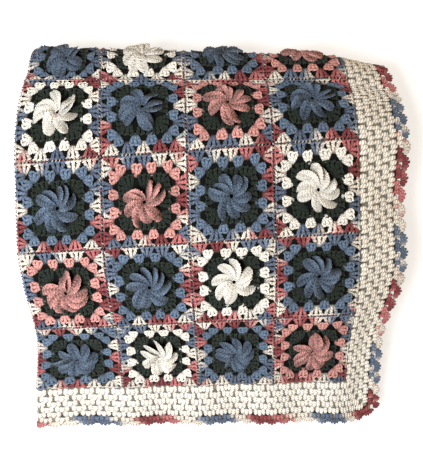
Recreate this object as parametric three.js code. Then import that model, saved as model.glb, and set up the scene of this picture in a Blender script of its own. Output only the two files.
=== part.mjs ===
// A crocheted granny-square throw, folded in half lengthwise and again crosswise.
// Millimetres, +Z up. The far fold is at +Y, the lengthwise fold at -X, the hem at -Y.
// Every square, border and edging is its own closed body, bent onto one folded surface.
// u runs across the cloth from the lengthwise fold (positive on the outer layer), v runs
// along it from the far fold (positive on the upper half), h stands off the cloth's middle.
import * as THREE from 'three';

// ---- driving dimensions -------------------------------------------------------------
const SQUARE = 127; // pitch of the joined squares
const COLUMNS = 4; // squares across the folded throw
const ROWS = 4; // whole rows on each half, with one more row over the far fold
const BORDER = 62; // five plain rounds
const EDGING = 27; // shell round and picot round
const CLOTH = 7; // thickness of a square's ground
const BORDER_CLOTH = 5; // thickness of the border and the edging
const FLOWER_RISE = 17; // flower above its square
const FLOWER_REACH = 34; // radius of a flower
const GAP = 1; // clearance kept by each edge of a piece

const FOLD_START = 11; // where the outer layer leaves the lengthwise fold
const FOLD_RADIUS = 12; // half the distance between a pair's two layers
const ROLL_RADIUS = 37; // far fold, at the middle of the four layers
const ROLL_LENGTH = 77; // cloth of the outer layer on a quarter of the far fold
const FOLD_DRIFT = 40; // how far beyond the middle row the far fold is, at the lengthwise fold
const HEM = (ROWS + 0.5) * SQUARE + BORDER + EDGING;

// Heights of the four layers, lowest first: under the flowers, at the free side, at the hem.
const BODY_LEVELS = [13.5, 37.5, 88, 112];
const SIDE_LEVELS = [6, 24, 56, 78];
const HEM_LEVELS = [3.5, 12.5, 21.5, 30.5];
const PLEAT_SHARE = [0, 1 / 3, 2 / 3, 1];
const PLEAT_RISE = 5;
const PLEAT_PITCH = 118;
const SIDE_WAVE = 160;
const OVERHANG_DROP = 15; // the upper half's hem lies on the ground where it overhangs

// How far along Y the cloth has come after each half square from the far fold.
const LIE_STEP = SQUARE / 2;
const LIE = [280, 231, 202, 142, 70, 3, -58, -117, -168, -222, -276, -327, -378, -430];
const MIDDLE_U = 2.5 * SQUARE;
const MIDDLE_X = 21;
const LEAN_X = 0.03; // the pile drifts to +X towards the hem
const GATHER = 0.075; // narrowing of the cloth towards the hem
const TILT = -0.03; // slope of the far fold along X
const COUNTER_TILT = -0.028; // slope of the hem along X

const UP = 1;
const UNDER = -1;

// ---- the folded surface -------------------------------------------------------------
const smooth = (from, to, x) => THREE.MathUtils.smoothstep(x, from, to);
const mix = THREE.MathUtils.lerp;

function along(w) {
  const at = THREE.MathUtils.clamp(w / LIE_STEP, 1, LIE.length - 2.001);
  const n = Math.floor(at);
  const t = at - n;
  const [a, b, c, d] = [LIE[n - 1], LIE[n], LIE[n + 1], LIE[n + 2]];
  return 0.5 * (2 * b + (c - a) * t + (2 * a - 5 * b + 4 * c - d) * t * t
    + (3 * b - a - 3 * c + d) * t * t * t);
}

// The far fold runs askew, so the upper half is longer than the one below by twice this.
const drift = (flatU) => FOLD_DRIFT * (1 - Math.min(flatU, 600) / 600);

function level(layer, flatU, w) {
  const side = smooth(480, 595, flatU);
  const front = smooth(400, 660, w);
  const back = layer > 1 ? 8 * (1 - smooth(ROLL_LENGTH, 190, w)) : 0;
  const body = mix(BODY_LEVELS[layer], SIDE_LEVELS[layer], side) - back;
  const pleat = front * Math.sin((2 * Math.PI * flatU) / PLEAT_PITCH + 0.6);
  const ripple = side * (1 - front) * Math.sin((2 * Math.PI * w) / SIDE_WAVE);
  const overhang = layer > 1 ? OVERHANG_DROP * smooth(0, 60, w - HEM + drift(flatU)) : 0;
  return mix(body, HEM_LEVELS[layer], front) - overhang
    + PLEAT_SHARE[layer] * PLEAT_RISE * (pleat + ripple);
}

function lay(u, v) {
  const turn = (FOLD_START - u) / FOLD_RADIUS;
  const onFold = turn > 0 && turn < Math.PI;
  const outer = turn <= 0 ? 1 : -1;
  const share = onFold ? Math.cos(turn) : outer;
  const across = onFold ? 0 : turn <= 0 ? -turn * FOLD_RADIUS : (turn - Math.PI) * FOLD_RADIUS;
  const flatU = FOLD_START + across;
  const far = v + drift(flatU);
  const w = Math.abs(far);
  const flatW = Math.max(w, ROLL_LENGTH);
  const side = smooth(480, 595, flatU);

  const upper = [level(2, flatU, flatW), level(3, flatU, flatW)];
  const lower = [level(1, flatU, flatW), level(0, flatU, flatW)];
  const top = mix(upper[0], upper[1], (1 + share) / 2);
  const bottom = mix(lower[0], lower[1], (1 + share) / 2);
  const quarter = Math.min(w / ROLL_LENGTH, 1) * (Math.PI / 2);
  const z = (top + bottom) / 2 + Math.sign(far) * Math.sin(quarter) * (top - bottom) / 2;

  const pair = far > 0 ? upper[1] - upper[0] : lower[0] - lower[1];
  const bulge = onFold ? (pair / 2) * Math.sin(turn) : 0;
  const gather = 1 - GATHER * smooth(330, 530, w);
  const end = 1 - smooth(20, 220, w);
  const flare = (26 * end - 38 * smooth(430, 700, w)) * (1 - smooth(0, 160, flatU));
  const slope = 12 * (1 - smooth(0, 130, w)) + 8 * smooth(200, 300, w) + 18 * smooth(400, 500, w);
  const tuck = slope * side + 12 * end * smooth(200, 500, flatU);
  const x = MIDDLE_X + LEAN_X * w + (flatU - MIDDLE_U) * gather + flare - tuck - bulge;

  const tilt = TILT * (1 - smooth(60, 200, w)) * (flatU - MIDDLE_U);
  const counter = COUNTER_TILT * (flatU - 90) * smooth(400, 620, w);
  const corner = 18 * smooth(540, 600, flatU) * smooth(590, 660, w);
  const roll = (ROLL_RADIUS + FOLD_RADIUS * share) * (1 - 0.1 * side) * Math.cos(quarter);
  return new THREE.Vector3(x, along(flatW) + tilt + counter + corner + roll, z);
}

function place(u, v, h) {
  const e = 0.5;
  const du = lay(u + e, v).sub(lay(u - e, v));
  const dv = lay(u, v + e).sub(lay(u, v - e));
  return lay(u, v).addScaledVector(dv.cross(du).normalize(), h);
}

// ---- pieces -------------------------------------------------------------------------
// A box is cut into a grid, and each of its corners goes to a station (u, v) on the cloth.
function bentPiece(stationsU, stationsV, heights) {
  const nu = stationsU.length - 1;
  const nv = stationsV.length - 1;
  const box = new THREE.BoxGeometry(1, 1, 1, nu, nv, 1);
  const p = box.attributes.position;
  for (let i = 0; i < p.count; i += 1) {
    const u = stationsU[Math.round((p.getX(i) + 0.5) * nu)];
    const v = stationsV[Math.round((p.getY(i) + 0.5) * nv)];
    const q = heights(u, v, p.getZ(i) > 0);
    p.setXYZ(i, q.x, q.y, q.z);
  }
  turnOutwards(box);
  box.computeVertexNormals();
  return box;
}

// The signed volume tells which way the faces look.
function turnOutwards(geometry) {
  const p = geometry.attributes.position;
  const index = geometry.index.array;
  const [a, b, c] = [new THREE.Vector3(), new THREE.Vector3(), new THREE.Vector3()];
  let volume = 0;
  for (let i = 0; i < index.length; i += 3) {
    a.fromBufferAttribute(p, index[i]);
    b.fromBufferAttribute(p, index[i + 1]);
    c.fromBufferAttribute(p, index[i + 2]);
    volume += a.dot(b.cross(c));
  }
  if (volume > 0) return;
  for (let i = 0; i < index.length; i += 3) {
    [index[i + 1], index[i + 2]] = [index[i + 2], index[i + 1]];
  }
}

function stations(from, to, count) {
  return Array.from({ length: count + 1 }, (_, i) => mix(from, to, i / count));
}

const cloth = (thickness) => (u, v, face) => place(u, v, face ? thickness / 2 : -thickness / 2);

// A square has its flower raised in the middle. One on the underside lies flat on the ground.
function squareCloth(middleU, middleV) {
  return (u, v, face) => {
    const reach = Math.max(Math.abs(u - middleU), Math.abs(v - middleV));
    const onFlower = face && reach <= FLOWER_REACH;
    const middle = reach < FLOWER_REACH / 2 ? 1 : 0.7;
    const h = CLOTH / 2 + (onFlower ? FLOWER_RISE * middle : 0);
    const q = place(u, v, face ? h : -CLOTH / 2);
    if (onFlower && middleV < -SQUARE / 2) q.z = 0;
    return q;
  };
}

const FINISH = {
  white_yarn: [0xf0ece1, 0.85],
  blue_yarn: [0x5a78a0, 0.85],
  pink_yarn: [0xd78c87, 0.85],
  variegated_yarn: [0xa06a78, 0.85],
};
const FLOWER_YARN = ['white_yarn', 'blue_yarn', 'pink_yarn', 'blue_yarn'];

const throwBlanket = new THREE.Group();

function add(name, finish, geometry) {
  const [color, roughness] = FINISH[finish];
  const material = new THREE.MeshStandardMaterial({ color, roughness, metalness: 0 });
  const mesh = new THREE.Mesh(geometry, material);
  mesh.name = name;
  throwBlanket.add(mesh);
}

// Squares of the outer layer: rows 1 to 4 above, row 0 over the far fold, rows 1 to 4 below.
for (let row = -ROWS; row <= ROWS; row += 1) {
  for (let column = 0; column < COLUMNS; column += 1) {
    const middleU = (column + 0.5) * SQUARE;
    const middleV = row * SQUARE;
    const half = SQUARE / 2 - GAP;
    const piece = bentPiece(
      stations(middleU - half, middleU + half, 4),
      stations(middleV - half, middleV + half, Math.abs(row) > 1 ? 4 : 8),
      squareCloth(middleU, middleV),
    );
    const where = row > 0 ? `top_r${row}` : row < 0 ? `under_r${-row}` : 'fold';
    add(`square_${where}_c${column + 1}`, FLOWER_YARN[(column + Math.abs(row) + 3) % 4], piece);
  }
}

// Squares of the inner layer, joined row by row. They start on the lengthwise fold.
const foldEnd = FOLD_START - Math.PI * FOLD_RADIUS;
const innerU = [-GAP, foldEnd / 3, (foldEnd * 2) / 3, foldEnd,
  ...stations(-SQUARE / 2, GAP - COLUMNS * SQUARE, 14)];
for (let row = -ROWS; row <= ROWS; row += 1) {
  const middleV = row * SQUARE;
  const half = SQUARE / 2 - GAP;
  const across = stations(middleV - half, middleV + half, Math.abs(row) > 1 ? 4 : 8);
  const where = row > 0 ? `top_r${row}` : row < 0 ? `under_r${-row}` : 'fold';
  add(`inner_squares_${where}`, 'variegated_yarn', bentPiece(innerU, across, cloth(CLOTH)));
}

// Borders and edging. Each side runs the whole length; each end runs across, round the fold.
const squaresU = COLUMNS * SQUARE;
const squaresV = (ROWS + 0.5) * SQUARE;
const borderU = [squaresU + GAP, squaresU + BORDER / 2, squaresU + BORDER - GAP];
const edgingU = [squaresU + BORDER + GAP, squaresU + BORDER + EDGING - GAP];
const longV = [...stations(-squaresV, -1.5 * SQUARE, 12), ...stations(-1.375 * SQUARE, 1.375 * SQUARE, 22),
  ...stations(1.5 * SQUARE, squaresV, 12)];
for (const layer of ['outer', 'inner']) {
  const sign = layer === 'outer' ? 1 : -1;
  const side = (list) => list.map((u) => sign * u);
  add(`side_border_${layer}`, 'white_yarn', bentPiece(side(borderU), longV, cloth(BORDER_CLOTH)));
  add(`side_edging_${layer}`, 'variegated_yarn', bentPiece(side(edgingU), longV, cloth(BORDER_CLOTH)));
}

const wideU = squaresU + BORDER + EDGING - GAP;
const quarters = stations(squaresU, SQUARE / 4, COLUMNS * 4 - 1);
const outerEndU = [wideU, squaresU + BORDER, squaresU + BORDER / 2, ...quarters, 2 * GAP];
const innerEndU = [-2 * GAP, ...innerU.slice(1, 4), ...stations(-SQUARE / 2, -squaresU, 14),
  -squaresU - BORDER / 2, -squaresU - BORDER, -wideU];
for (const [half, sign] of [['top', UP], ['under', UNDER]]) {
  const borderV = [squaresV + GAP, squaresV + BORDER / 2, squaresV + BORDER - GAP];
  const edgingV = [squaresV + BORDER + GAP, squaresV + BORDER + EDGING - GAP];
  for (const [layer, list] of [['outer', outerEndU], ['inner', innerEndU]]) {
    const bend = (across) => bentPiece(list, across.map((v) => sign * v), cloth(BORDER_CLOTH));
    add(`end_border_${half}_${layer}`, 'white_yarn', bend(borderV));
    add(`end_edging_${half}_${layer}`, 'variegated_yarn', bend(edgingV));
  }
}

// The origin is on the ground, under the middle of the pile.
const bounds = new THREE.Box3().setFromObject(throwBlanket, true);
const middle = bounds.getCenter(new THREE.Vector3());
throwBlanket.position.set(-middle.x, -middle.y, -bounds.min.z);
throwBlanket.updateMatrixWorld(true);

export default throwBlanket;
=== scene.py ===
# %% [markdown]
# # A folded granny-square throw
# The real throw is crocheted from five worsted yarns: 72 squares with a raised spiral flower, sewn
# together, a plain border and a scalloped edging. It lies in a loose pile, folded in half both ways.
# This lesson models a few stitches one by one and lays thousands of copies on one folded surface.
#
# The imported frame comes first. It is a plain solid model of the same throw.

# %% Load the imported frame
import math

import bpy
import numpy as np
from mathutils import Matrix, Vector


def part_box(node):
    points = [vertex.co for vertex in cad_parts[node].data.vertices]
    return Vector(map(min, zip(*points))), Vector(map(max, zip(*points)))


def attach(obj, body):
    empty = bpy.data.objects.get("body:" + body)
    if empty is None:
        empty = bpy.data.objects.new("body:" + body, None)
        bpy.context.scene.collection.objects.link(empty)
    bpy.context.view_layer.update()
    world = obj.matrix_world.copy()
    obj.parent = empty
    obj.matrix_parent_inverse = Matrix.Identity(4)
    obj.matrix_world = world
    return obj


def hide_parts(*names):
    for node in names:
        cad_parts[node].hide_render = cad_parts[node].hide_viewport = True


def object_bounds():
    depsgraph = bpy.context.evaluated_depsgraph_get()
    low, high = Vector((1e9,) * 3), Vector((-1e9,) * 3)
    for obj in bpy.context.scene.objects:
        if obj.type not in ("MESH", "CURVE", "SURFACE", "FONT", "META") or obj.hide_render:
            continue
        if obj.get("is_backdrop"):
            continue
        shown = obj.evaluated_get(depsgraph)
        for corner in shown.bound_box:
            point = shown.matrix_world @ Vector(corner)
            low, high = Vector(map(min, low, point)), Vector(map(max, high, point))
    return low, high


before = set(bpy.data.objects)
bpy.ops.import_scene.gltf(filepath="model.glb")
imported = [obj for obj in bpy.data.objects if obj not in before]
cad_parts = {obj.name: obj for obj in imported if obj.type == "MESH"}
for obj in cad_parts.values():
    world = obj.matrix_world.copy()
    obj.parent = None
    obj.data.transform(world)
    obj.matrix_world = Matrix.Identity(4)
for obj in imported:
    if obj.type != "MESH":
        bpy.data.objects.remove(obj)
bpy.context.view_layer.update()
bpy.ops.object.select_all(action="DESELECT")

# %% [markdown]
# ## Sizes
# Everything is worked out in millimetres and turned into metres when a mesh is made. The driving sizes
# are those of the yarn work: a square, a round of the border, a group of three double crochets. Each
# piece could have its own numbers instead, but then another yarn would mean changing every one.

# %% Driving sizes
MM = 0.001
SQUARE = 127.0
COLUMNS, ROWS = 4, 4
BORDER, EDGING = 62.0, 27.0
BORDER_ROUNDS = 5
ROUND = BORDER / BORDER_ROUNDS
GROUP_PITCH = 21.6
SQUARES_U, SQUARES_V = COLUMNS * SQUARE, (ROWS + 0.5) * SQUARE
HEM_U, HEM_V = SQUARES_U + BORDER + EDGING, SQUARES_V + BORDER + EDGING
rng = np.random.default_rng(72)  # one seed for all the small accidents of handwork
print(f"cloth, flat: {2 * HEM_U:.0f} x {2 * HEM_V:.0f} mm")

# %% [markdown]
# ## The folded surface
# A real throw could be draped by a cloth simulation, but its stitches would then have to be bound to a
# moving sheet. A formula is steadier: u runs across the cloth from the lengthwise fold, v along it from
# the far fold, and h stands off it. Positive u is the outer layer, positive v the upper half. It is the
# surface that the frame's own pieces are bent on, so the stitches land where the frame is.

# %% Measures of the folds
FOLD_START, FOLD_RADIUS = 11.0, 12.0
ROLL_RADIUS, ROLL_LENGTH = 37.0, 77.0
BODY_LEVELS = (13.5, 37.5, 88.0, 112.0)
SIDE_LEVELS = (6.0, 24.0, 56.0, 78.0)
HEM_LEVELS = (3.5, 12.5, 21.5, 30.5)
PLEAT_SHARE = (0, 1 / 3, 2 / 3, 1)
PLEAT_RISE, PLEAT_PITCH, SIDE_WAVE = 5.0, 118.0, 160.0
LIE_STEP = SQUARE / 2
LIE = np.array([280, 231, 202, 142, 70, 3, -58, -117, -168, -222, -276, -327, -378, -430], float)
MIDDLE_U, MIDDLE_X, LEAN_X = 2.5 * SQUARE, 21.0, 0.03
GATHER, TILT, COUNTER_TILT = 0.075, -0.03, -0.028
FOLD_DRIFT, DRIFT_END, OVERHANG_DROP = 40.0, 600.0, 15.0
SIDE_ZONE, FRONT_ZONE = (480, 595), (400, 660)  # where the cloth sinks to its free side and to its hem
print("four layers at", BODY_LEVELS, "mm, and at the hem", HEM_LEVELS)

# %% [markdown]
# The pile has four layers. Each keeps its own height in the body, comes down towards the free side and
# the hem, and has soft pleats there, which are deeper in the upper layers than in the lower ones.

# %% Heights of the layers
def smooth(low, high, x):
    """Goes softly from 0 to 1 while x goes from low to high."""
    t = np.clip((x - low) / (high - low), 0, 1)
    return t * t * (3 - 2 * t)


def along(w):
    """Y of the cloth at w from the far fold: a smooth curve through the places in LIE."""
    at = np.clip(w / LIE_STEP, 1, len(LIE) - 2.001)
    n = np.floor(at).astype(int)
    t = at - n
    a, b, c, d = LIE[n - 1], LIE[n], LIE[n + 1], LIE[n + 2]
    return 0.5 * (2 * b + (c - a) * t + (2 * a - 5 * b + 4 * c - d) * t**2 + (3 * b - a - 3 * c + d) * t**3)


def drift(flat_u):
    """The crosswise fold isn't square to the cloth: it is this far off at flat_u."""
    return FOLD_DRIFT * (1 - np.minimum(flat_u, DRIFT_END) / DRIFT_END)


def level(layer, flat_u, w):
    """Height of a layer, 0 at the bottom to 3 on top."""
    side, front = smooth(*SIDE_ZONE, flat_u), smooth(*FRONT_ZONE, w)
    back = 8 * (1 - smooth(ROLL_LENGTH, 190, w)) if layer > 1 else 0
    body = BODY_LEVELS[layer] + (SIDE_LEVELS[layer] - BODY_LEVELS[layer]) * side - back
    pleat = front * np.sin(2 * np.pi * flat_u / PLEAT_PITCH + 0.6)
    ripple = side * (1 - front) * np.sin(2 * np.pi * w / SIDE_WAVE)
    lain = body + (HEM_LEVELS[layer] - body) * front
    overhang = OVERHANG_DROP * smooth(0, 60, w - HEM_V + drift(flat_u)) if layer > 1 else 0
    return lain - overhang + PLEAT_SHARE[layer] * PLEAT_RISE * (pleat + ripple)


falls = [round(float(level(3, 250.0, w))) for w in (100.0, 300.0, 500.0, 650.0)]
print("the top layer's height on its way to the hem:", falls, "mm")

# %% [markdown]
# A point of the cloth goes round the lengthwise fold first, then over the far roll, and then takes the
# small pulls and leans of a real pile. Heights off the cloth follow its own slope.

# %% Where a point of the cloth lies
def lay(u, v):
    """Where the middle of the cloth is at (u, v), before the shift to the frame's origin."""
    # Round the lengthwise fold: share goes from 1 in the outer layer to -1 in the inner one.
    turn = (FOLD_START - u) / FOLD_RADIUS
    on_fold = (turn > 0) & (turn < np.pi)
    share = np.where(on_fold, np.cos(turn), np.where(turn <= 0, 1, -1))
    across = np.where(on_fold, 0, np.where(turn <= 0, -turn, turn - np.pi) * FOLD_RADIUS)
    flat_u = FOLD_START + across
    # Over the far roll: w is the distance from the crosswise fold, in the upper or the lower half.
    far = v + drift(flat_u)
    w = np.abs(far)
    flat_w = np.maximum(w, ROLL_LENGTH)
    side = smooth(*SIDE_ZONE, flat_u)
    heights = [level(layer, flat_u, flat_w) for layer in range(4)]
    top = heights[2] + (heights[3] - heights[2]) * (1 + share) / 2
    bottom = heights[1] + (heights[0] - heights[1]) * (1 + share) / 2
    quarter = np.minimum(w / ROLL_LENGTH, 1) * np.pi / 2
    z = (top + bottom) / 2 + np.sign(far) * np.sin(quarter) * (top - bottom) / 2
    # Across: the fold bulges and the hem gathers. The left is drawn in at the far end and let out at the
    # hem, and the free side is tucked in.
    pair = np.where(far > 0, heights[3] - heights[2], heights[1] - heights[0])
    bulge = np.where(on_fold, pair / 2 * np.sin(turn), 0)
    gather = 1 - GATHER * smooth(330, 530, w)
    end = 1 - smooth(20, 220, w)
    flare = (26 * end - 38 * smooth(430, 700, w)) * (1 - smooth(0, 160, flat_u))
    slope = 12 * (1 - smooth(0, 130, w)) + 8 * smooth(200, 300, w) + 18 * smooth(400, 500, w)
    tuck = slope * side + 12 * end * smooth(200, 500, flat_u)
    x = MIDDLE_X + LEAN_X * w + (flat_u - MIDDLE_U) * gather + flare - tuck - bulge
    # Along: both ends are a little askew, the free corner of the hem is rounded, and the roll stands out.
    tilt = TILT * (1 - smooth(60, 200, w)) * (flat_u - MIDDLE_U)
    counter = COUNTER_TILT * (flat_u - 90) * smooth(400, 620, w)
    corner = 18 * smooth(540, 600, flat_u) * smooth(590, 660, w)
    roll = (ROLL_RADIUS + FOLD_RADIUS * share) * (1 - 0.1 * side) * np.cos(quarter)
    return np.stack([x, along(flat_w) + tilt + counter + corner + roll, z], -1)


def place(u, v, h):
    """Points at height h over the cloth, on its right side."""
    e = 0.5
    out = np.cross(lay(u, v + e) - lay(u, v - e), lay(u + e, v) - lay(u - e, v))
    out /= np.linalg.norm(out, axis=-1, keepdims=True)
    return lay(u, v) + out * h[..., None]


# %% [markdown]
# The formula has its own origin, so one square of the frame tells how far to shift what is laid on it.
# The same square, laid here, has to come out as wide as the frame's, which shows that the two agree.

# %% Shift to the frame's origin
low, high = (np.array(c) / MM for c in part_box("square_top_r2_c2"))
edge_u = np.linspace(SQUARE + 1, 2 * SQUARE - 1, 5)
edge_v = np.linspace(1.5 * SQUARE + 1, 2.5 * SQUARE - 1, 5)
grid_u, grid_v = np.meshgrid(edge_u, edge_v)
probe = np.concatenate([place(grid_u, grid_v, grid_u * 0 + h).reshape(-1, 3) for h in (-3.5, 3.5)])
SHIFT = np.array([low[0] - probe[:, 0].min(), low[1] - probe[:, 1].min(), low[2] - probe[:, 2].min()])
print("shift to the frame:", SHIFT.round(2), "mm; width agrees to",
      round(float(np.ptp(probe[:, 0]) - (high[0] - low[0])), 3), "mm")

# %% [markdown]
# ## Shader maths
# A material can be wired by hand, node by node, but the sums behind a colour are long. So a socket is
# wrapped in a small class here, and a material reads as an expression.

# %% Socket maths
class Wire:
    """A node socket that can be added, multiplied and so on."""

    def __init__(self, tree, socket=None):
        self.tree, self.socket = tree, socket

    def node(self, kind, settings=None, inputs=None, out=0):
        """Makes a node: its settings first, then the values or links of its sockets."""
        made = self.tree.nodes.new(kind)
        for key, value in (settings or {}).items():
            if key == "stops":
                set_stops(made.color_ramp, value)
            else:
                setattr(made, key, value)
        for key, value in (inputs or {}).items():
            if isinstance(value, Wire):
                self.tree.links.new(value.socket, made.inputs[key])
            else:
                made.inputs[key].default_value = value
        if isinstance(out, tuple):
            return [Wire(self.tree, made.outputs[i]) for i in out]
        return Wire(self.tree, made.outputs[out])

    def maths(self, operation, *values):
        return self.node("ShaderNodeMath", {"operation": operation}, dict(enumerate(values)))

    def __add__(self, other):
        return self.maths("ADD", self, other)

    def __mul__(self, other):
        return self.maths("MULTIPLY", self, other)

    def __sub__(self, other):
        return self.maths("SUBTRACT", self, other)

    def __rsub__(self, other):
        return self.maths("SUBTRACT", other, self)

    __radd__, __rmul__ = __add__, __mul__

    def blend(self, factor, first, second, how="MIX"):
        return self.node("ShaderNodeMix", {"data_type": "RGBA", "blend_type": how},
                         {"Factor": factor, 6: first, 7: second}, out=2)

    def feed(self, socket):
        self.tree.links.new(self.socket, socket)


def set_stops(ramp, stops):
    while len(ramp.elements) < len(stops):
        ramp.elements.new(0.5)
    for element, (at, colour) in zip(ramp.elements, stops, strict=True):
        element.position, element.color = at, colour


def linear(r, g, b):
    """A colour given as 0-255 values, in the shader's linear numbers."""
    return tuple(((c / 255 + 0.055) / 1.055) ** 2.4 for c in (r, g, b)) + (1.0,)


print("middle grey is", round(linear(128, 128, 128)[0], 3), "to the shader")

# %% [markdown]
# ## Yarn
# Worsted acrylic is matte and a little fuzzy. Each strand carries an attribute with the cosine and the
# sine round it and the length along it, so its plies wind round it without a seam. The variegated yarn
# carries a second attribute, its own length, which a ramp turns into white, pink, raspberry and denim.
# A third one, shade, is painted shade: it darkens what lies deep between the stitches. A picture of yarn
# would be quicker, but its repeats show and it blurs close up, and attributes don't.

# %% Yarn colours
YARNS = {
    "white_yarn": linear(246, 243, 234),
    "blue_yarn": linear(102, 122, 147),
    "pink_yarn": linear(219, 158, 152),
    "green_yarn": linear(30, 42, 34),
}
VARIEGATED_STOPS = (
    (0.00, linear(240, 234, 222)), (0.12, linear(238, 228, 216)), (0.17, linear(206, 130, 130)),
    (0.27, linear(192, 112, 114)), (0.33, linear(138, 66, 70)), (0.45, linear(130, 60, 64)),
    (0.50, linear(204, 134, 132)), (0.54, linear(238, 230, 218)), (0.63, linear(234, 226, 216)),
    (0.68, linear(106, 122, 146)), (0.80, linear(90, 104, 128)), (0.91, linear(112, 128, 150)),
    (0.96, linear(236, 230, 220)),
)
PLY_TURN = 1.15  # how far the plies wind, in radians a millimetre
print("yarns:", ", ".join(YARNS), "and a variegated one of", len(VARIEGATED_STOPS), "stops")

# %% [markdown]
# One function wires all five yarns. The plies are a ridge that winds round the strand, the fuzz is fine
# noise, and both darken the colour and raise the bump, so that the yarn looks twisted and not printed.
# The darkening in the grooves between the plies is painted shade; that of the fuzz is a random mottle.

# %% Yarn materials
def dyed(start, colour, cloudy):
    """The yarn's own colour: one dye, a little uneven, or the run of the variegated yarn."""
    if colour:
        deeper = tuple(c * 0.8 for c in colour[:3]) + (1,)
        return start.blend(cloudy * 0.12, colour, deeper)
    run = start.node("ShaderNodeAttribute", {"attribute_name": "run"}, out=2)
    turn = run.maths("FRACT", run + (cloudy - 0.5) * 0.05)
    return start.node("ShaderNodeValToRGB", {"stops": VARIEGATED_STOPS}, {0: turn})


def yarn_material(name, colour):
    material = bpy.data.materials.new(name)
    material.use_nodes = True
    shader = material.node_tree.nodes["Principled BSDF"]
    start = Wire(material.node_tree)
    strand = start.node("ShaderNodeAttribute", {"attribute_name": "strand"}, out=1)
    cosine, sine, length = start.node("ShaderNodeSeparateXYZ", {}, {0: strand}, out=(0, 1, 2))
    turned = length * PLY_TURN
    ridge = cosine * turned.maths("COSINE", turned) + sine * turned.maths("SINE", turned)
    ply = ridge * ridge
    where = start.node("ShaderNodeTexCoord", out=3)
    fuzz = start.node("ShaderNodeTexNoise", {"noise_dimensions": "3D"},
                      {"Vector": where, "Scale": 900.0, "Detail": 3.0, "Roughness": 0.7})
    cloudy = start.node("ShaderNodeTexNoise", {"noise_dimensions": "3D"},
                        {"Vector": where, "Scale": 60.0, "Detail": 2.0})
    # Painted shade from the shade attribute. White yarn passes light on inside the cloth, so its painted
    # shade in the hollows is lighter than the others'.
    shade = start.node("ShaderNodeAttribute", {"attribute_name": "shade"}, out=2)
    depth = shade if name == "white_yarn" else shade.maths("POWER", shade, 1.5)
    dark = depth * (0.36 + ply * 0.56 + fuzz * 0.30)
    grey = start.node("ShaderNodeCombineColor", {}, {0: dark, 1: dark, 2: dark})
    start.blend(1.0, dyed(start, colour, cloudy), grey, "MULTIPLY").feed(shader.inputs["Base Color"])
    bump = start.node("ShaderNodeBump", {},
                      {"Strength": 0.8, "Distance": 0.0009, "Height": ply + fuzz * 0.6})
    bump.feed(shader.inputs["Normal"])
    shader.inputs["Roughness"].default_value = 0.92
    shader.inputs["Sheen Weight"].default_value = 0.2 if name == "white_yarn" else 0.08
    shader.inputs["Sheen Roughness"].default_value = 0.6
    shader.inputs["Specular IOR Level"].default_value = 0.15
    return material


MATERIALS = {name: yarn_material(name, colour) for name, colour in YARNS.items()}
MATERIALS["variegated_yarn"] = yarn_material("variegated_yarn", None)
print("materials:", ", ".join(MATERIALS))

# %% [markdown]
# ## Making and keeping a stitch
# Each stitch is modelled once with the usual tools. Its points and faces are then kept, so that it can
# be copied by the thousand. Instances would be lighter, but they stay stiff, and a copy's own points can
# bend with the cloth. The helpers pick points by their place, as a maker would with a box.

# %% Stitch helpers
def pick(obj, test):
    """Selects, in edit mode, the points for which test(x, y, z) is true."""
    bpy.ops.object.mode_set(mode="OBJECT")
    for part in (obj.data.polygons, obj.data.edges):
        part.foreach_set("select", [False] * len(part))
    for vertex in obj.data.vertices:
        vertex.select = bool(test(*vertex.co))
    bpy.ops.object.mode_set(mode="EDIT")
    bpy.ops.mesh.select_mode(type="VERT")


def finish_modifiers(obj):
    """Applies the object's modifiers in order."""
    bpy.ops.object.mode_set(mode="OBJECT")
    for modifier in list(obj.modifiers):
        bpy.ops.object.modifier_apply(modifier=modifier.name)


class Stitch:
    """The points and faces of a modelled stitch, in millimetres, with its strand attribute and its painted
    shade.
    """

    def __init__(self, obj, strand=None, tone=None):
        mesh = obj.data
        self.points = np.array([v.co for v in mesh.vertices])
        self.loops = np.array([v for p in mesh.polygons for v in p.vertices])
        self.sizes = np.array([len(p.vertices) for p in mesh.polygons])
        if strand is None:
            strand = np.array([item.vector for item in mesh.attributes["strand"].data])
        # Painted shade: the lower points of a stitch are darker.
        if tone is None:  # less light reaches the lower points
            tone = np.clip(0.30 + 0.25 * (self.points[:, 2] + 1.2), 0.22, 1.1)
        self.strand, self.tone = strand, tone
        bpy.data.objects.remove(obj)
        bpy.data.meshes.remove(mesh)


def strand_along_y(obj):
    """Writes the attribute of a strand that runs along Y, round its own middle."""
    points = np.array([v.co for v in obj.data.vertices])
    middle = (points.min(0) + points.max(0)) / 2
    angle = np.arctan2(points[:, 2] - middle[2], points[:, 0] - middle[0])
    attribute = obj.data.attributes.new("strand", "FLOAT_VECTOR", "POINT")
    values = np.stack([np.cos(angle), np.sin(angle), points[:, 1]], -1)
    attribute.data.foreach_set("vector", values.ravel())


def join(objects):
    bpy.ops.object.select_all(action="DESELECT")
    for obj in objects:
        obj.select_set(True)
    bpy.context.view_layer.objects.active = objects[0]
    bpy.ops.object.join()
    return bpy.context.object


# %% [markdown]
# ### One strand
# A post of a stitch is a plump bundle of yarn. A tube along a curve could follow the real loops, but it
# takes hundreds of faces. A sphere drawn out along Y, with its rings widened so that it stays plump to
# its ends, takes a few dozen and looks the same from a step away.

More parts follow.
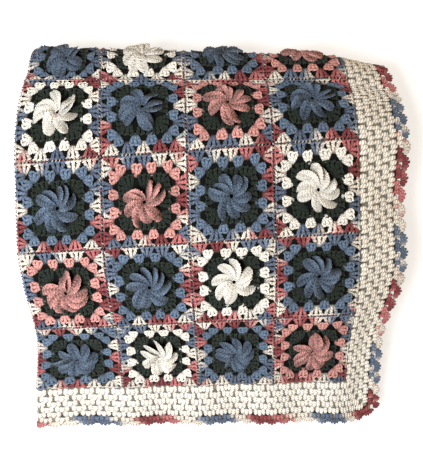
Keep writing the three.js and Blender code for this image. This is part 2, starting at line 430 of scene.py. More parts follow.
# %% Model a strand
def add_strand(length, width, sides, rings, at=(0, 0, 0), turn=0.0, height=None, foot=1.0):
    """One plump strand of yarn along Y, with its foot at the point at. A foot below 1 makes a club."""
    bpy.ops.object.select_all(action="DESELECT")
    bpy.ops.mesh.primitive_uv_sphere_add(segments=sides, ring_count=rings, radius=0.5)
    obj = bpy.context.object
    bpy.ops.object.mode_set(mode="EDIT")
    bpy.ops.mesh.select_all(action="SELECT")
    bpy.ops.transform.rotate(value=math.pi / 2, orient_axis="X", center_override=(0, 0, 0))
    bpy.ops.transform.resize(value=(width, length, height or width), center_override=(0, 0, 0))
    for ring in range(1, rings):
        y = -0.5 * length * math.cos(math.pi * ring / rings)
        share = 0.5 + y / length
        fuller = (foot + (1 - foot) * share) * math.sin(math.pi * ring / rings) ** -0.4
        pick(obj, lambda px, py, pz, y=y: abs(py - y) < 0.01)
        bpy.ops.transform.resize(value=(fuller, 1, fuller), center_override=(0, y, 0))
    bpy.ops.object.mode_set(mode="OBJECT")
    strand_along_y(obj)
    bpy.ops.object.mode_set(mode="EDIT")
    bpy.ops.mesh.select_all(action="SELECT")
    bpy.ops.transform.translate(value=(0, length / 2, 0))
    bpy.ops.transform.rotate(value=turn, orient_axis="Z", center_override=(0, 0, 0))
    bpy.ops.transform.translate(value=at)
    bpy.ops.object.mode_set(mode="OBJECT")
    return obj


# The rotate operator may turn either way, so it is tried once on a strand.
trial = Stitch(add_strand(10.0, 1.0, 4, 3, turn=0.5))
TURN_SIGN = 1 if trial.points[:, 0].max() > 1 else -1
print("a positive turn goes", "clockwise" if TURN_SIGN > 0 else "anticlockwise")

# %% [markdown]
# ## The group of three double crochets
# It is the fan that every round is made of: three leaning posts that start in one space, with a chain
# of loops over their tops. The tip of a coloured round is a narrow bell, a fan spreads wider, and a
# band of the border has straight posts. Each is modelled twice: a fine one for the upper side, and a
# plain one for the layers that are hidden, where fine ones would only cost faces.

# %% Model the groups
GROUP_LENGTH = 10.0


def model_group(sides, rings, width, foot, head, club, drop, loops, shade, climb):
    """A fan of three posts, their feet foot apart and their heads head apart, the outer ones drop lower.

    The feet get painted shade between the two places in shade, and the fan rises by climb from feet to
    heads.
    """
    made = []
    for side in (-1, 0, 1):
        length = GROUP_LENGTH - drop * abs(side)
        turn = TURN_SIGN * math.atan2(side * (head - foot), length)
        reach = math.hypot(length, side * (head - foot))
        at = (side * foot, 0, -0.4 * abs(side))
        made.append(add_strand(reach, width, sides, rings, at, turn, foot=club))
    for step in loops:
        at = ((step - 0.45) * head, 8.8 - drop * abs(step) / 2, 1.6 - 0.4 * abs(step))
        made.append(add_strand(head, 1.8, 6, 4, at, TURN_SIGN * math.radians(78), height=2.4))
    group = Stitch(join(made))
    x, y = np.abs(group.points[:, 0]), group.points[:, 1]
    # Painted shade: the space that the group starts in is a hole in shade, so the feet in its middle are
    # painted dark.
    group.tone = group.tone * (0.2 + 0.8 * np.maximum(smooth(*shade, y), 0.75 * smooth(2.4, 4.2, x)))
    group.points[:, 2] += climb * (y / GROUP_LENGTH - 0.5)
    return group


# Width of a post, spread of the feet and of the heads, club, and how much lower the outer posts end.
TIP = (4.7, 0.8, 4.9, 0.52, 0.9)
FAN = (4.6, 1.3, 6.0, 0.52, 0.3)
BAND = (5.9, 3.8, 5.2, 0.82, 0.8)
TIP_FINE = model_group(8, 7, *TIP, (-0.5, 0.5), (-1.0, 2.0), 1.0)
TIP_PLAIN = model_group(5, 4, *TIP, (), (-1.0, 2.0), 1.0)
FAN_FINE = model_group(8, 7, *FAN, (-0.9, 0, 0.9), (-1.0, 2.5), 0.6)
FAN_PLAIN = model_group(5, 4, *FAN, (), (-1.0, 2.5), 0.6)
BAND_FINE = model_group(8, 9, *BAND, (), (2.7, 3.5), 1.4)
BAND_PLAIN = model_group(5, 4, *BAND, (), (2.7, 3.5), 1.4)
CHAIN = Stitch(add_strand(5.4, 2.9, 6, 4, (0, -2.7, 0)))
print("group:", len(TIP_FINE.sizes), "faces fine,", len(TIP_PLAIN.sizes), "plain")

# %% [markdown]
# ## The petal
# A petal is a strip of double crochets folded along its own spine, 32 mm long. Separate stitches would
# cost too many faces here, so it starts as a grid, whose rows are narrowed to the outline and which is
# then thickened. Ribs, a rim and small knots raised on it read as the rows of stitches.

# %% Model the petals
PETALS, PETAL_LENGTH, PETAL_WIDTH, PETAL_THICK = 9, 32.0, 17.0, 3.4
RIB = 4.5  # one double crochet along the petal
KNOT_Y, KNOT_X = 3.5, 3.8  # the steps of the knots along and across it


def petal_outline(t):
    """Half width of the petal, as a share of its widest, at t along it."""
    round_tip = math.sqrt(max(1 - (max(t - 0.6, 0) / 0.41) ** 2.4, 0.01))
    return (0.42 + 0.58 * math.sin(min(t / 0.7, 1.0) * math.pi / 2)) * round_tip


def model_petal(across, rows, relief):
    """A petal along Y on a grid of across by rows. With relief 0 it has no ribs or knots."""
    bpy.ops.object.select_all(action="DESELECT")
    bpy.ops.mesh.primitive_grid_add(x_subdivisions=across, y_subdivisions=rows, size=1)
    obj = bpy.context.object
    bpy.ops.object.mode_set(mode="EDIT")
    bpy.ops.mesh.select_all(action="SELECT")
    bpy.ops.transform.resize(value=(PETAL_WIDTH, PETAL_LENGTH, 1), center_override=(0, 0, 0))
    bpy.ops.transform.translate(value=(0, PETAL_LENGTH / 2, 0))
    step = PETAL_LENGTH / rows
    for row in range(rows + 1):
        at = row * step
        pick(obj, lambda x, y, z, at=at: abs(y - at) < step / 4)
        bpy.ops.transform.resize(value=(petal_outline(at / PETAL_LENGTH), 1, 1), center_override=(0, at, 0))
    bpy.ops.object.mode_set(mode="OBJECT")
    thick = obj.modifiers.new("thickness", "SOLIDIFY")
    thick.thickness, thick.offset = PETAL_THICK, 0.0
    finish_modifiers(obj)
    points = np.array([v.co for v in obj.data.vertices])
    x, y = points[:, 0], points[:, 1]
    half = np.array([petal_outline(min(max(t, 0), 1)) for t in y / PETAL_LENGTH]) * PETAL_WIDTH / 2
    rim = np.clip(np.abs(x) / half, 0, 1)
    rib = 2 * np.pi * (y + 0.4 * np.abs(x)) / RIB
    # Each double crochet is a ridge that runs from the spine to a beaded rim.
    ridge = relief * (np.cos(rib) * (0.8 - 0.4 * rim) + 1.2 * rim**3 - 1.2 * np.exp(-((x / 1.4) ** 2)))
    plump = np.where(points[:, 2] > 0, 1.1 * (1 - rim**4), -0.8 * (1 - rim**4))
    lattice = np.cos(2 * np.pi * y / KNOT_Y + 1.6 * np.sin(x / 1.4)) * np.cos(2 * np.pi * x / KNOT_X)
    knots = relief * (1.1 * lattice + rng.normal(0, 0.75, len(points)))
    for vertex, lift in zip(obj.data.vertices, ridge + plump + 0.45 * knots, strict=True):
        vertex.co.z += lift
    # Painted shade: darker in the grooves and along the spine, lighter on the ribs, the beaded rim and the
    # knots.
    tone = np.clip(0.84 + 0.22 * ridge + 0.24 * knots, 0.25, 1.4)
    return Stitch(obj, np.stack([np.cos(rib), np.sin(rib), np.abs(x)], -1), tone)


PETAL_FINE = model_petal(14, 34, 1.0)
PETAL_PLAIN = model_petal(5, 8, 0.0)
print("petal:", len(PETAL_FINE.sizes), "faces fine,", len(PETAL_PLAIN.sizes), "plain")

# %% [markdown]
# ## Collecting stitches into pieces
# A piece of the throw gathers the copies of its stitches and becomes one mesh, because thousands of
# separate objects would be slow to make and hard to handle. On a square, x runs with u and y against v,
# so that a flower turns the same way wherever its square is.

# %% Piece maker
RUN_ACROSS = 0.006  # how far the variegated yarn runs in a millimetre across a stitch
LOWEST = 0.2  # nothing is laid lower than this, so no stitch is in the floor


class Piece:
    """Stitches of one piece of the throw, on their way to the folded surface."""

    def __init__(self, name):
        self.name, self.parts, self.yarns = name, [], []

    def add(self, stitch, x, y, h, yarn, run, shade):
        """Copies of a stitch: x, y and h have a row for each copy and a column for each point."""
        if yarn not in self.yarns:
            self.yarns.append(yarn)
        self.parts.append((stitch, x, -y, h, self.yarns.index(yarn), run, shade))

    def stamp(self, stitch, at_x, at_y, heading, size, h, yarn, run=0.0, shade=1.0):
        """Copies at (at_x, at_y) whose Y points along heading; size scales width, length and height."""
        at_x, at_y, heading, run, shade = (np.atleast_1d(np.asarray(each, float))[:, None]
                                           for each in (at_x, at_y, heading, run, shade))
        a, b, c = (stitch.points[None, :, k] * np.asarray(size[k], float).reshape(-1, 1) for k in range(3))
        x = at_x + a * np.sin(heading) + b * np.cos(heading)
        y = at_y - a * np.cos(heading) + b * np.sin(heading)
        run = run + stitch.points[None, :, 0] * RUN_ACROSS
        h, run, shade = (np.broadcast_to(each, x.shape) for each in (h + c, run, shade * stitch.tone))
        self.add(stitch, x, y, h, yarn, run, shade)

    def build(self, *nodes, slot=None):
        """Lays the copies on the cloth as one mesh, which replaces the given nodes of the frame."""
        points, loops, sizes, materials, strands, runs, shades = [], [], [], [], [], [], []
        first = 0
        for stitch, u, v, h, yarn, run, shade in self.parts:
            count, each = u.shape
            spot = place(u.ravel(), v.ravel(), h.ravel()) + SHIFT
            spot[:, 2] = np.maximum(spot[:, 2], LOWEST)
            points.append(spot * MM)
            loops.append((stitch.loops[None] + first + each * np.arange(count)[:, None]).ravel())
            sizes.append(np.tile(stitch.sizes, count))
            materials.append(np.full(count * len(stitch.sizes), yarn))
            strands.append(np.tile(stitch.strand, (count, 1)))
            runs.append(run.ravel())
            shades.append(shade.ravel())
            first += count * each
        arrays = [np.concatenate(each) for each in (points, loops, sizes, materials, strands, runs, shades)]
        obj = make_object(self.name, self.yarns, *arrays)
        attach(obj, "root")
        if nodes:
            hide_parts(*nodes)
        CLOTH_PIECES.append(obj)


CLOTH_PIECES = []

# %% [markdown]
# The arrays of a piece go into a mesh all at once. Each point takes its three attributes along, and
# each face the yarn that its stitch is worked in.

# %% Mesh of a piece
def make_object(name, yarns, points, loops, sizes, materials, strands, runs, shades):
    mesh = bpy.data.meshes.new(name)
    mesh.vertices.add(len(points))
    mesh.vertices.foreach_set("co", points.astype(np.float32).ravel())
    mesh.loops.add(len(loops))
    mesh.loops.foreach_set("vertex_index", loops.astype(np.int32))
    mesh.polygons.add(len(sizes))
    mesh.polygons.foreach_set("loop_start", np.concatenate([[0], np.cumsum(sizes)[:-1]]).astype(np.int32))
    for yarn in yarns:
        mesh.materials.append(MATERIALS[yarn])
    mesh.polygons.foreach_set("material_index", materials.astype(np.int32))
    mesh.polygons.foreach_set("use_smooth", np.ones(len(sizes), bool))
    mesh.update(calc_edges=True)
    strand = mesh.attributes.new("strand", "FLOAT_VECTOR", "POINT")
    strand.data.foreach_set("vector", strands.astype(np.float32).ravel())
    for kind, values in (("run", runs), ("shade", shades)):
        mesh.attributes.new(kind, "FLOAT", "POINT").data.foreach_set("value", values.astype(np.float32))
    obj = bpy.data.objects.new(name, mesh)
    bpy.context.scene.collection.objects.link(obj)
    return obj


# %% [markdown]
# ## One square
# The rounds are laid from the middle out. On each side a round has a few groups at even steps, and at
# each corner two groups share one space, so their feet meet. A texture of the square would lie flat,
# and the raised stitches are what one sees of this cloth, so each group is really there.

# %% Rounds of a square
def side_groups(steps, foot, top, corner):
    """(x, y, heading, length) of the groups of a round, all four sides. The corner groups' feet meet."""
    found = []
    for quarter in range(4):
        turn = quarter * math.pi / 2
        for step in steps:
            at_corner = abs(step) == max(abs(s) for s in steps)
            base = math.copysign(corner, step) if at_corner else step * 0.97
            rise = foot + (2.0 if at_corner else 0.0)
            lean = math.atan2(step - base, top - rise)
            length = math.hypot(step - base, top - rise)
            x = base * math.cos(turn) - rise * math.sin(turn)
            y = base * math.sin(turn) + rise * math.cos(turn)
            found.append((x, y, turn + math.pi / 2 - lean, length))
    return np.array(found).T


LEAF_GROUPS = side_groups((-23, 0, 23), 17.0, 38.0, 20.0)
COLOUR_GROUPS = side_groups((-34.5, -12, 12, 34.5), 34.0, 52.5, 37.0)
OUTER_GROUPS = side_groups((-48, -23.7, 0, 23.7, 48), 45.0, 61.5, 49.0)
# Width, height and lift of a group in each round.
LEAF_SIZE, COLOUR_SIZE, OUTER_SIZE = (24.0, 4.8, 0.8), (17.5, 5.6, 1.6), (24.0, 4.6, 0.4)
STITCH_HEIGHT = 5.4  # about the height of a modelled group
print("groups of a square:", *(len(groups[0]) for groups in (LEAF_GROUPS, COLOUR_GROUPS, OUTER_GROUPS)))


def lay_round(piece, stitch, middle, groups, width, height, h, yarn, run=0.0):
    """One round of groups about middle. No two are quite alike."""
    x, y, heading, length = groups
    n = len(x)
    wobble = rng.normal(0, 0.05, (3, n))
    wide = width / np.ptp(stitch.points[:, 0]) * (1 + wobble[0])
    piece.stamp(stitch, middle[0] + x + wobble[0] * 8, -middle[1] + y + wobble[1] * 8, heading + wobble[2],
                (wide, length / GROUP_LENGTH, height / STITCH_HEIGHT), h, yarn, run=run,
                shade=1 + rng.normal(0, 0.05, n))


# %% [markdown]
# ### The flower
# The petals go round like a pinwheel: each one is rolled about its spine, with its clockwise edge up
# over the next. Worked in acrylic they slump, each in its own way, so every petal gets its own heading,
# roll and curl. Each petal gets painted shade, darker where it lies low and in its grooves; white ones
# get less of it, because light passes through them.

# %% Lay a flower
FULL_RISE = 17.0  # how high a flower stands where nothing presses on it


def lay_flower(piece, petal, middle, yarn, rise, stand):
    """Nine petals. They lie flat towards the lower left of a square and stand up on the other side."""
    a, b, c = (petal.points[:, k] for k in range(3))
    along_petal = np.clip(b / PETAL_LENGTH, 0, 1)
    turn = rng.uniform(0, math.pi)
    lean = math.radians(rng.normal(30, 35))
    # How dark the painted shade is at a petal's lowest points, and how much of its own painted shade shows.
    lowest_painted_shade, contrast = (0.78, 0.5) if yarn == "white_yarn" else (0.46, 1.0)
    for k in range(PETALS):
        heading = turn + k * 2 * math.pi / PETALS + rng.normal(0, 0.09)
        up = 0.5 + 0.5 * math.cos(heading - lean)
        # About its spine: roll lifts one edge of the petal and lowers the other.
        roll = stand * (math.radians(20 + 26 * up) + rng.normal(0, 0.2)) * (0.5 + 0.7 * along_petal)
        roll = roll + rng.normal(0, 0.3) * along_petal**2
        # Seen from above: the spine curls, and some petals reach less far than others.
        curl = math.radians(16 + rng.normal(0, 13))
        bend = heading + curl * along_petal**1.6 - 0.12
        radius = 2.6 + b * (1.0 - 0.08 * up + rng.normal(0, 0.06))
        # Seen from the side: the spine swells up and comes down to its tip.
        swell = np.sin(np.minimum(along_petal * 1.25, 1.0) * math.pi / 2)
        base = rise * (0.32 + 0.44 * swell - 0.52 * along_petal**3 + rng.normal(0, 0.05))
        wave = rng.normal(0, 0.12) * rise * np.sin(along_petal * 2 * math.pi)
        side = a * np.cos(roll) - c * np.sin(roll)
        cup = 0.09 * a * a / PETAL_WIDTH * 2
        h = base + wave - a * np.sin(roll) * (rise / FULL_RISE) + c * np.cos(roll) * 0.9 - cup
        x = middle[0] + radius * np.cos(bend) - side * np.sin(bend)
        y = -middle[1] + radius * np.sin(bend) + side * np.cos(bend)
        # Painted shade: the lower a point of the petal, the darker.
        depth = np.clip((h - 1) / (rise + 2), 0, 1)
        shade = (lowest_painted_shade + (1.12 - lowest_painted_shade) * depth) * petal.tone**contrast
        piece.add(petal, x[None], y[None], np.maximum(h, 1.0)[None], yarn, 0 * x[None], shade[None])


# %% [markdown]
# ### The chain and the whole square
# The variegated yarn is worked round the square without a break, so its colour runs on from group to
# group. A chain closes the round, and shows as a fine line beside each seam.

# %% Lay a square
FLOWER_YARNS = ("white_yarn", "blue_yarn", "pink_yarn", "blue_yarn")
CHAIN_PITCH, CHAIN_AT = 4.9, 61.6


def yarn_of(row, column):
    return FLOWER_YARNS[(column + abs(row) + 3) % 4]


def run_round(groups):
    """How far the variegated yarn has run at each group, in the order it is worked."""
    return rng.uniform() + np.arange(groups) * rng.uniform(0.13, 0.19) + rng.normal(0, 0.02, groups)


def lay_chain(piece, middle, runs):
    """The chain that closes the outer round, along all four sides of the square."""
    steps = np.arange(-59, 60, CHAIN_PITCH)
    for quarter in range(4):
        turn = quarter * math.pi / 2
        x = steps * math.cos(turn) - CHAIN_AT * math.sin(turn)
        y = steps * math.sin(turn) + CHAIN_AT * math.cos(turn)
        group = np.clip(np.rint(steps / 24) + 2, 0, 4).astype(int) + 5 * quarter
        heading = turn + rng.normal(0.3, 0.08, len(steps))
        run, shade = runs[group] + rng.normal(0, 0.02, len(steps)), rng.normal(0.95, 0.06, len(steps))
        piece.stamp(CHAIN, middle[0] + x, -middle[1] + y, heading, (1, 1, 0.9), 1.5, "variegated_yarn",
                    run=run, shade=shade)


def lay_square(pieces, middle, yarn, fine, rise, slump=0, stand=1.0):
    """pieces are those that take the flower, the inner rounds and the variegated round."""
    tip, fan, petal = (TIP_FINE, FAN_FINE, PETAL_FINE) if fine else (TIP_PLAIN, FAN_PLAIN, PETAL_PLAIN)
    lay_flower(pieces[0], petal, (middle[0], middle[1] + slump), yarn, rise, stand)
    lay_round(pieces[1], fan, middle, LEAF_GROUPS, *LEAF_SIZE, "green_yarn")
    lay_round(pieces[1], tip, middle, COLOUR_GROUPS, *COLOUR_SIZE, yarn)
    runs = run_round(len(OUTER_GROUPS[0]))
    lay_round(pieces[2], fan, middle, OUTER_GROUPS, *OUTER_SIZE, "variegated_yarn", runs)
    if fine:
        lay_chain(pieces[2], middle, runs)


# %% [markdown]
# ## Squares of the outer layer
# The sixteen whole squares of the upper side and the four over the far fold show every stitch. Those
# underneath are pressed flat by the pile, so their flowers are low and their stitches plain. The flowers
# over the fold have slid a little way down its upper side, and they and those next to the hem stand up
# less than the others.

# %% Lay the outer squares
def row_name(row):
    return f"top_r{row}" if row > 0 else f"under_r{-row}" if row < 0 else "fold"


for row in range(-ROWS, ROWS + 1):
    for column in range(COLUMNS):
        middle = ((column + 0.5) * SQUARE, row * SQUARE)
        name = f"{row_name(row)}_c{column + 1}"
        yarn = yarn_of(row, column)
        flower, rounds = Piece(f"flower_{name}"), Piece(f"inner_rounds_{name}")
        outer = Piece(f"outer_round_{name}") if row >= 0 else rounds
        slump = 0 if row else 18 - 4 * column
        rise = 7.5 if row < 0 else FULL_RISE if row else 11.0
        stand = 0.5 if row in (0, ROWS) else 1.0
        lay_square((flower, rounds, outer), middle, yarn, row >= 0, rise, slump, stand)
        flower.build(slot=yarn)
        rounds.build(f"square_{name}", slot=yarn)
        if outer is not rounds:
            outer.build(slot="variegated_yarn")
print("outer squares:", len(CLOTH_PIECES), "pieces")

# %% [markdown]
# ## Squares of the inner layer
# They show only in the openings of the pile, so each row of four is one piece of plain stitches, and
# another of plain flowers. Over the fold there is no room for flowers inside.

# %% Lay the inner squares
for row in range(-ROWS, ROWS + 1):
    strip, flowers = Piece(f"inner_squares_row_{row_name(row)}"), Piece(f"inner_flowers_{row_name(row)}")
    for column in range(COLUMNS):
        middle = (-(column + 0.5) * SQUARE, row * SQUARE)
        lay_square((flowers, strip, strip), middle, yarn_of(row, column), False, 15.0)
    strip.build(f"inner_squares_{row_name(row)}", slot="green_yarn")
    if row:
        flowers.build(slot="blue_yarn")
print("with the inner squares:", len(CLOTH_PIECES), "pieces")

# %% [markdown]
# ## Whipstitched seams
# The squares are sewn edge to edge with short slanting stitches, which show as light dots. One long
# twisted cord would look much the same, but each whipstitch has its own colour of the variegated yarn.

# %% Sew the seams
SEAM_PITCH = 5.4
SEAM_RUNS = {0.05: 0.4, 0.25: 0.2, 0.45: 0.12, 0.68: 0.2, 0.85: 0.08}  # where on the run, and how often


def sew(piece, stitch, start, end):
    count = int(math.dist(start, end) / SEAM_PITCH)
    t = (np.arange(count) + 0.5) / count
    x = start[0] + (end[0] - start[0]) * t
    y = -(start[1] + (end[1] - start[1]) * t)
    heading = math.atan2(-(end[1] - start[1]), end[0] - start[0]) + math.pi / 2 - 0.5
    piece.stamp(stitch, x, y, heading + rng.normal(0, 0.1, count), (1.0, 1.0, 1.0), 2.6, "variegated_yarn",
                run=rng.choice(list(SEAM_RUNS), count, p=list(SEAM_RUNS.values())))


SEAM_STITCH = Stitch(add_strand(4.6, 2.0, 6, 4, (0, -2.3, 0)))
for name, sign in (("outer", 1), ("inner", -1)):
    for half, low_v, high_v in (("top", 0.5, 4.5), ("fold", -0.5, 0.5), ("under", -4.5, -0.5)):
        seams = Piece(f"seams_{name}_{half}")
        for line in range(0 if sign > 0 else 1, COLUMNS):
            u = sign * line * SQUARE
            sew(seams, SEAM_STITCH, (u, low_v * SQUARE), (u, high_v * SQUARE))
        lines = {"top": np.arange(low_v, high_v), "fold": (), "under": np.arange(low_v + 1, high_v + 1)}
        for line in lines[half]:
            sew(seams, SEAM_STITCH, (0, line * SQUARE), (sign * SQUARES_U, line * SQUARE))
        seams.build(slot="variegated_yarn")
print("with seams:", len(CLOTH_PIECES), "pieces")

# %% [markdown]
# ## Border and edging
# Five rounds of white groups, each a half pitch along from the last, so that the small holes make a
# brick pattern. Then one round of variegated groups and one of scallops. Each row is laid group by
# group, as it is worked, so that it turns the folds of the pile like the squares do.

# %% Rows of groups
HALF_PITCH = GROUP_PITCH / 2
BAND_SIZE = (1.38, (ROUND + 5.1) / 10, 0.85)  # each round lies 5.1 over the next one
EDGE_SIZES = ((1.34, 1.6, 0.85), (1.1, 1.5, 0.8))
FEET_BACK = 3.5  # how far a group's feet reach back over the round before
EDGE_STEP = 14.0
EDGE_RUN = (0.35, 0.11)  # where the variegated yarn starts, and how far it runs in a group
BAND_LIFT = 0.4
WORKED_LEAN = 0.16  # the side border's groups lean the way the rounds are worked
HEADINGS = {("u", 1): WORKED_LEAN, ("u", -1): math.pi, ("v", 1): -math.pi / 2, ("v", -1): math.pi / 2}


def run_places(end, k):
    """Places of round k's groups, from the corner back to the fold."""
    return np.arange(end + k * HALF_PITCH, HALF_PITCH / 2, -GROUP_PITCH)


print("groups from corner to fold:", len(run_places(SQUARES_U, 0)), "at an end,",
      len(run_places(SQUARES_V, 0)), "at a side")

def lay_band(piece, stitch, across, places, outward, axis, sizes, yarn, run=0.0):
    """A row of groups: across is the distance of their feet, outward +1 or -1, axis "u" or "v"."""
    n = len(places)
    jitter = rng.normal(0, 0.4, n)
    spots, feet = places + jitter, np.full(n, across * outward) + rng.normal(0, 0.3, n)
    x, y = (feet, -spots) if axis == "u" else (spots, -feet)
    heading = HEADINGS[axis, outward] + rng.normal(0, 0.04, n)
    piece.stamp(stitch, x, y, heading, sizes, BAND_LIFT, yarn, run=run, shade=1 + rng.normal(0, 0.04, n))


def lay_rounds(border, edging, band, scallop, start, places, outward, axis):
    """Along one side of the squares: five white rounds, a variegated one and the scallops."""
    for k in range(BORDER_ROUNDS):
        across = start + k * ROUND - FEET_BACK
        lay_band(border, band, across, places(k), outward, axis, BAND_SIZE, "white_yarn")
    for k, stitch in enumerate((band, scallop)):
        across = start + BORDER - FEET_BACK + k * EDGE_STEP
        spots = places(BORDER_ROUNDS + k)
        run = EDGE_RUN[0] + np.arange(len(spots)) * EDGE_RUN[1]
        lay_band(edging, stitch, across, spots, outward, axis, EDGE_SIZES[k], "variegated_yarn", run)
    border.build(border.name, slot="white_yarn")
    edging.build(edging.name, slot="variegated_yarn")


# %% [markdown]
# A scallop is a shell of five posts that fan out from one space.

# %% Model the scallops
def model_scallop(sides, rings):
    posts = []
    for k in (-2, -1, 0, 1, 2):
        foot, turn = (1.5 * k, 0, -0.2 * abs(k)), TURN_SIGN * math.radians(27) * k
        posts.append(add_strand(9.0 - 0.4 * abs(k), 5.0, sides, rings, foot, turn, foot=0.7))
    return Stitch(join(posts))


SCALLOP_FINE, SCALLOP_PLAIN = model_scallop(7, 6), model_scallop(5, 4)
print("scallop:", len(SCALLOP_FINE.sizes), "faces fine,", len(SCALLOP_PLAIN.sizes), "plain")

# %% [markdown]
# The side border runs over the far fold in one piece. The end borders are cut at the lengthwise fold,
# so there is one for each half of the pile, outer and inner. Only what faces up has fine stitches.

# %% Lay the border
FINE_BAND, PLAIN_BAND = (BAND_FINE, SCALLOP_FINE), (BAND_PLAIN, SCALLOP_PLAIN)


def side_places(k):
    reach = run_places(SQUARES_V, k)
    return np.concatenate([reach, -reach[reach > HALF_PITCH / 2]])


def end_places(sign):
    return lambda k: sign * run_places(SQUARES_U, k)


for layer, sign in (("outer", 1), ("inner", -1)):
    stitches = FINE_BAND if sign > 0 else PLAIN_BAND
    lay_rounds(Piece(f"side_border_{layer}"), Piece(f"side_edging_{layer}"), *stitches,
               SQUARES_U, side_places, sign, "u")
    for half, up in (("top", 1), ("under", -1)):
        stitches = FINE_BAND if sign > 0 and up > 0 else PLAIN_BAND
        lay_rounds(Piece(f"end_border_{half}_{layer}"), Piece(f"end_edging_{half}_{layer}"), *stitches,
                   SQUARES_V, end_places(sign), up, "v")
print("with borders and edging:", len(CLOTH_PIECES), "pieces")

# %% [markdown]
# ## The shade sheet behind the cloth
# Between the groups one sees the feet of the stitches and the layer below, deep in shade. A thin sheet
# stands for them in painted shade: it follows the whole folded cloth, dark behind the squares and the
# tan of white yarn in shade behind the white border. Its grid is close where the cloth turns and wide
# where it lies.

# %% Make the shade sheet
HEM_BACK = 12.0  # the sheet stops at least this far inside the scallops
BACK_DEPTH, BACK_THICK = 1.8, 1.2
GROUND_U = np.concatenate([np.arange(-HEM_U + HEM_BACK, -32, 14.0), np.arange(-30, 14, 3.0),
                           np.arange(16, HEM_U - HEM_BACK + 1, 14.0)])
GROUND_V = np.concatenate([np.arange(-HEM_V + HEM_BACK, -78, 12.0), np.arange(-76, 77, 6.0),
                           np.arange(84, HEM_V - HEM_BACK + 1, 12.0)])
bpy.ops.object.select_all(action="DESELECT")
bpy.ops.mesh.primitive_grid_add(x_subdivisions=len(GROUND_U) - 1, y_subdivisions=len(GROUND_V) - 1, size=2)
ground = bpy.context.object
ground.name = "shade_sheet"
flat = np.array([v.co for v in ground.data.vertices])
ground_u = GROUND_U[np.rint((flat[:, 0] + 1) / 2 * (len(GROUND_U) - 1)).astype(int)]
ground_v = GROUND_V[np.rint((flat[:, 1] + 1) / 2 * (len(GROUND_V) - 1)).astype(int)]
spots = (place(ground_u, ground_v, np.full(len(flat), -BACK_DEPTH)) + SHIFT) * MM
ground.data.vertices.foreach_set("co", spots.astype(np.float32).ravel())
ground.data.update()
ground.modifiers.new("thickness", "SOLIDIFY").thickness = BACK_THICK * MM
finish_modifiers(ground)
bpy.ops.object.shade_smooth()
print("back:", len(ground.data.polygons), "faces")

# %% [markdown]
# The sheet's colour is painted shade, a blend of two: a dark green for the shade in the squares' hollows
# and the tan of white yarn in shade for the border's.
# An attribute named zone says which: it is 0 behind the squares and 1 behind the border.

# %% Shade sheet material
def shade_sheet_material():
    material = bpy.data.materials.new("shade_sheet")
    material.use_nodes = True
    shader = material.node_tree.nodes["Principled BSDF"]
    start = Wire(material.node_tree)
    zone = start.node("ShaderNodeAttribute", {"attribute_name": "zone"}, out=2)
    where = start.node("ShaderNodeTexCoord", out=3)
    fuzz = start.node("ShaderNodeTexNoise", {}, {"Vector": where, "Scale": 400.0, "Detail": 3.0})
    # Painted shade: near black in the squares' hollows, and the tan of white yarn in shade in the border's.
    dark = start.blend(fuzz * 0.5, linear(8, 9, 8), linear(22, 25, 22))
    shaded_white = start.blend(fuzz * 0.6, linear(150, 138, 120), linear(112, 100, 84))
    start.blend(zone, dark, shaded_white).feed(shader.inputs["Base Color"])
    bump = start.node("ShaderNodeBump", {}, {"Strength": 0.6, "Distance": 0.001, "Height": fuzz})
    bump.feed(shader.inputs["Normal"])
    shader.inputs["Roughness"].default_value = 0.95
    shader.inputs["Specular IOR Level"].default_value = 0.1
    return material


copies = len(ground.data.vertices) // len(flat)  # the thickness repeats the points in their order
in_border = (np.abs(ground_u) > SQUARES_U) | (np.abs(ground_v) > SQUARES_V)
zone = ground.data.attributes.new("zone", "FLOAT", "POINT")
zone.data.foreach_set("value", np.tile(in_border.astype(np.float32), copies))
ground.data.materials.append(shade_sheet_material())
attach(ground, "root")
print("behind the border:", f"{in_border.mean():.0%} of the back's points")

# %% [markdown]
# ## Floor
# A plain pale floor. It gives a little light of its own, so that it stays nearly white beside the wool
# and throws some light under the hem, as a white table does.

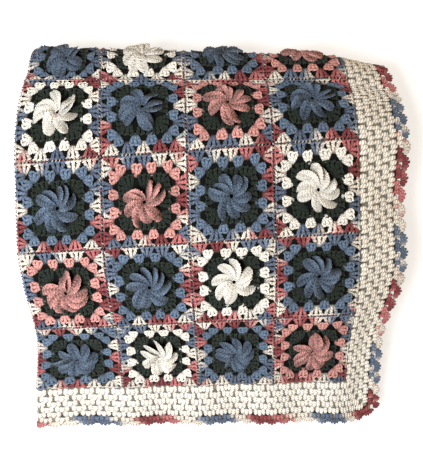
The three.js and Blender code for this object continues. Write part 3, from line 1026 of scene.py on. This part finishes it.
# %% Floor
bpy.ops.object.select_all(action="DESELECT")
bpy.ops.mesh.primitive_plane_add(size=8, location=(0, 0, 0))
floor = bpy.context.object
floor.name = "floor"
floor_material = bpy.data.materials.new("floor")
floor_material.use_nodes = True
floor_shader = floor_material.node_tree.nodes["Principled BSDF"]
floor_shader.inputs["Base Color"].default_value = (0.55, 0.56, 0.57, 1)
floor_shader.inputs["Roughness"].default_value = 0.9
floor_shader.inputs["Emission Color"].default_value = (1, 1, 1, 1)
floor_shader.inputs["Emission Strength"].default_value = 0.62
floor.data.materials.append(floor_material)
floor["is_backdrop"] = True

# %% [markdown]
# ## Light
# A soft cool key from above, a little to the lower left, and a wide warm fill from the upper right. So
# the slopes that fall away at the far fold and at the right turn tan, as white wool does in lamplight.
# The room is warm and dim too, but where it is seen directly it is pale.

# %% Lamps and room
COOL, WARM = (0.95, 0.975, 1.0), (1.0, 0.76, 0.50)


def lamp(name, at, size, energy, colour):
    """A square lamp that looks at the middle of the pile."""
    data = bpy.data.lights.new(name, "AREA")
    data.size, data.energy, data.color = size, energy, colour
    obj = bpy.data.objects.new(name, data)
    bpy.context.scene.collection.objects.link(obj)
    obj.location = at
    obj.rotation_mode = "QUATERNION"
    obj.rotation_quaternion = (-obj.location).to_track_quat("-Z", "Y")
    return obj


def room():
    world = bpy.data.worlds.new("studio")
    world.use_nodes = True
    start = Wire(world.node_tree)
    dim = start.node("ShaderNodeBackground", {}, {"Color": WARM + (1,), "Strength": 0.36})
    pale = start.node("ShaderNodeBackground", {}, {"Color": (1.0, 0.99, 0.97, 1)})
    seen = start.node("ShaderNodeLightPath", out="Is Camera Ray")
    start.node("ShaderNodeMixShader", {}, {0: seen, 1: dim, 2: pale}).feed(
        world.node_tree.nodes["World Output"].inputs["Surface"])
    return world


lamp("key", (-0.40, -0.20, 0.98), 0.45, 17.5, COOL)
lamp("fill", (1.1, 0.7, 1.2), 1.4, 7, WARM)
bpy.context.scene.world = room()
bpy.context.scene.view_settings.view_transform = "Standard"

# %% [markdown]
# ## Camera
# It looks straight down on the pile, with the far fold at the top.

# %% Camera
camera_data = bpy.data.cameras.new("camera")
camera_data.lens = 45.3
camera = bpy.data.objects.new("camera", camera_data)
bpy.context.scene.collection.objects.link(camera)
camera.location = (SHIFT[0] * MM, SHIFT[1] * MM, 0.962)
bpy.context.scene.camera = camera
print("camera:", round(camera.location.z * 1000), "mm over the floor")

# %% [markdown]
# ## Sizes, and finish
# The triangles are counted and printed, and the box of the finished model is measured.

triangles = sum(sum(len(p.vertices) - 2 for p in o.data.polygons) for o in [*CLOTH_PIECES, ground])
print("triangles:", triangles)
low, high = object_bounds()
